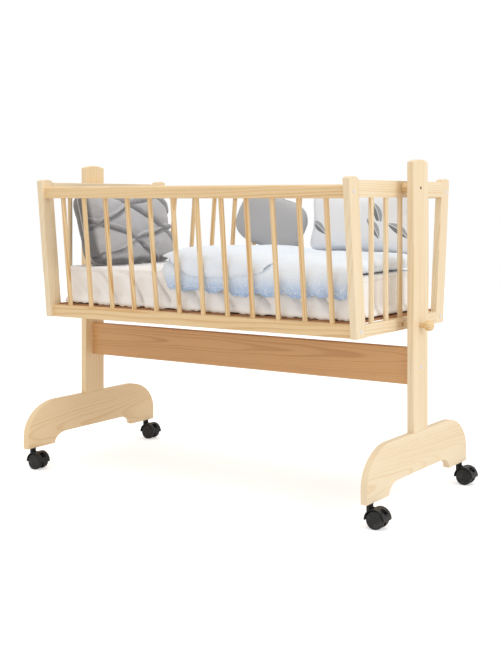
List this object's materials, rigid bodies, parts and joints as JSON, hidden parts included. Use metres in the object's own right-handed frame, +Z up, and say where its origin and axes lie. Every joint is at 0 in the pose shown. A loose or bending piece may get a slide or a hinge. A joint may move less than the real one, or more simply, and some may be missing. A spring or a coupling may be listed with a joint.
{
  "type": "baby cradle",
  "caption": "Slatted wooden baby cradle whose basket swings between two posts, with lock pegs, castered feet and loose bedding.",
  "frame": {"origin": "on the floor, midway between the posts and between the feet's ends", "axes": "+X along the cradle towards the end whose casters have brake levers, -Y the front, +Z up"},
  "size_m": [1.0665, 0.515, 0.786],
  "materials": {
    "pine": "satin",
    "pine_warm": "satin",
    "hardboard": "matte",
    "zinc_steel": "satin",
    "white_cap": "gloss",
    "nylon": "satin",
    "black_plastic": "satin",
    "wheel_plastic": "satin",
    "white_sheet": "matte",
    "blue_quilt": "matte",
    "grey_knit": "matte",
    "grey_cotton": "matte",
    "leaf_print": "matte"
  },
  "bodies": {
    "stand": {"left_post": "pine", "right_post": "pine", "left_foot": "pine", "right_foot": "pine", "stretcher": "pine_warm", "post_dowels": "pine", "stretcher_bolts_and_nuts": "zinc_steel", "stretcher_bolt_caps": "white_cap", "pivot_inserts": "zinc_steel", "pivot_spacers": "pine", "pivot_bolts": "zinc_steel", "caster_sockets": "black_plastic", "caster_stems": "zinc_steel"},
    "basket": {"front_left_corner_post": "pine", "front_right_corner_post": "pine", "back_left_corner_post": "pine", "back_right_corner_post": "pine", "left_top_rail": "pine", "left_bottom_rail": "pine", "right_top_rail": "pine", "right_bottom_rail": "pine", "front_top_rail": "pine", "front_bottom_rail": "pine", "back_top_rail": "pine", "back_bottom_rail": "pine", "left_spindles": "pine", "right_spindles": "pine", "front_spindles": "pine", "back_spindles": "pine", "end_frame_dowels": "pine", "pivot_bushes": "nylon", "corner_screws": "zinc_steel", "corner_screw_caps": "white_cap", "base_ledgers_and_battens": "pine", "base_panel": "hardboard", "mattress": "white_sheet", "quilt": "blue_quilt", "pintuck_cushion": "grey_knit", "plain_cushion": "grey_cotton", "leaf_pillow": "leaf_print"},
    "left_peg": {"left_lock_peg": "pine"},
    "right_peg": {"right_lock_peg": "pine"},
    "front_left_caster": {"front_left_caster_housing": "black_plastic", "front_left_caster_axle": "zinc_steel"},
    "front_left_wheel_a": {"front_left_caster_wheel_a": "wheel_plastic"},
    "front_left_wheel_b": {"front_left_caster_wheel_b": "wheel_plastic"},
    "front_right_caster": {"front_right_caster_housing": "black_plastic", "front_right_caster_axle": "zinc_steel"},
    "front_right_wheel_a": {"front_right_caster_wheel_a": "wheel_plastic"},
    "front_right_wheel_b": {"front_right_caster_wheel_b": "wheel_plastic"},
    "front_right_brake": {"front_right_brake_lever": "black_plastic"},
    "back_left_caster": {"back_left_caster_housing": "black_plastic", "back_left_caster_axle": "zinc_steel"},
    "back_left_wheel_a": {"back_left_caster_wheel_a": "wheel_plastic"},
    "back_left_wheel_b": {"back_left_caster_wheel_b": "wheel_plastic"},
    "back_right_caster": {"back_right_caster_housing": "black_plastic", "back_right_caster_axle": "zinc_steel"},
    "back_right_wheel_a": {"back_right_caster_wheel_a": "wheel_plastic"},
    "back_right_wheel_b": {"back_right_caster_wheel_b": "wheel_plastic"},
    "back_right_brake": {"back_right_brake_lever": "black_plastic"}
  },
  "joints": [
    {"name": "basket_swing", "type": "hinge", "parent": "stand", "child": "basket", "pos_m": [0, 0, 0.721], "axis": [1, 0, 0], "range_deg": [-20, 20]},
    {"name": "left_peg_pull", "type": "slide", "parent": "stand", "child": "left_peg", "axis": [-1, 0, 0], "range_m": [0, 0.03]},
    {"name": "right_peg_pull", "type": "slide", "parent": "stand", "child": "right_peg", "axis": [1, 0, 0], "range_m": [0, 0.03]},
    {"name": "front_left_swivel", "type": "hinge", "parent": "stand", "child": "front_left_caster", "pos_m": [-0.4915, -0.231, 0.045], "axis": [0, 0, 1], "continuous": true},
    {"name": "front_left_wheel_a_roll", "type": "hinge", "parent": "front_left_caster", "child": "front_left_wheel_a", "pos_m": [-0.473, -0.231, 0.02], "axis": [0, 1, 0], "continuous": true},
    {"name": "front_left_wheel_b_roll", "type": "hinge", "parent": "front_left_caster", "child": "front_left_wheel_b", "pos_m": [-0.473, -0.231, 0.02], "axis": [0, 1, 0], "continuous": true},
    {"name": "front_right_swivel", "type": "hinge", "parent": "stand", "child": "front_right_caster", "pos_m": [0.4915, -0.231, 0.045], "axis": [0, 0, 1], "continuous": true},
    {"name": "front_right_wheel_a_roll", "type": "hinge", "parent": "front_right_caster", "child": "front_right_wheel_a", "pos_m": [0.51, -0.231, 0.02], "axis": [0, 1, 0], "continuous": true},
    {"name": "front_right_wheel_b_roll", "type": "hinge", "parent": "front_right_caster", "child": "front_right_wheel_b", "pos_m": [0.51, -0.231, 0.02], "axis": [0, 1, 0], "continuous": true},
    {"name": "front_right_brake_press", "type": "hinge", "parent": "front_right_caster", "child": "front_right_brake", "pos_m": [0.5218, -0.231, 0.0393], "axis": [0, 1, 0], "range_deg": [0, 12]},
    {"name": "back_left_swivel", "type": "hinge", "parent": "stand", "child": "back_left_caster", "pos_m": [-0.4915, 0.231, 0.045], "axis": [0, 0, 1], "continuous": true},
    {"name": "back_left_wheel_a_roll", "type": "hinge", "parent": "back_left_caster", "child": "back_left_wheel_a", "pos_m": [-0.473, 0.231, 0.02], "axis": [0, 1, 0], "continuous": true},
    {"name": "back_left_wheel_b_roll", "type": "hinge", "parent": "back_left_caster", "child": "back_left_wheel_b", "pos_m": [-0.473, 0.231, 0.02], "axis": [0, 1, 0], "continuous": true},
    {"name": "back_right_swivel", "type": "hinge", "parent": "stand", "child": "back_right_caster", "pos_m": [0.4915, 0.231, 0.045], "axis": [0, 0, 1], "continuous": true},
    {"name": "back_right_wheel_a_roll", "type": "hinge", "parent": "back_right_caster", "child": "back_right_wheel_a", "pos_m": [0.51, 0.231, 0.02], "axis": [0, 1, 0], "continuous": true},
    {"name": "back_right_wheel_b_roll", "type": "hinge", "parent": "back_right_caster", "child": "back_right_wheel_b", "pos_m": [0.51, 0.231, 0.02], "axis": [0, 1, 0], "continuous": true},
    {"name": "back_right_brake_press", "type": "hinge", "parent": "back_right_caster", "child": "back_right_brake", "pos_m": [0.5218, 0.231, 0.0393], "axis": [0, 1, 0], "range_deg": [0, 12]}
  ]
}
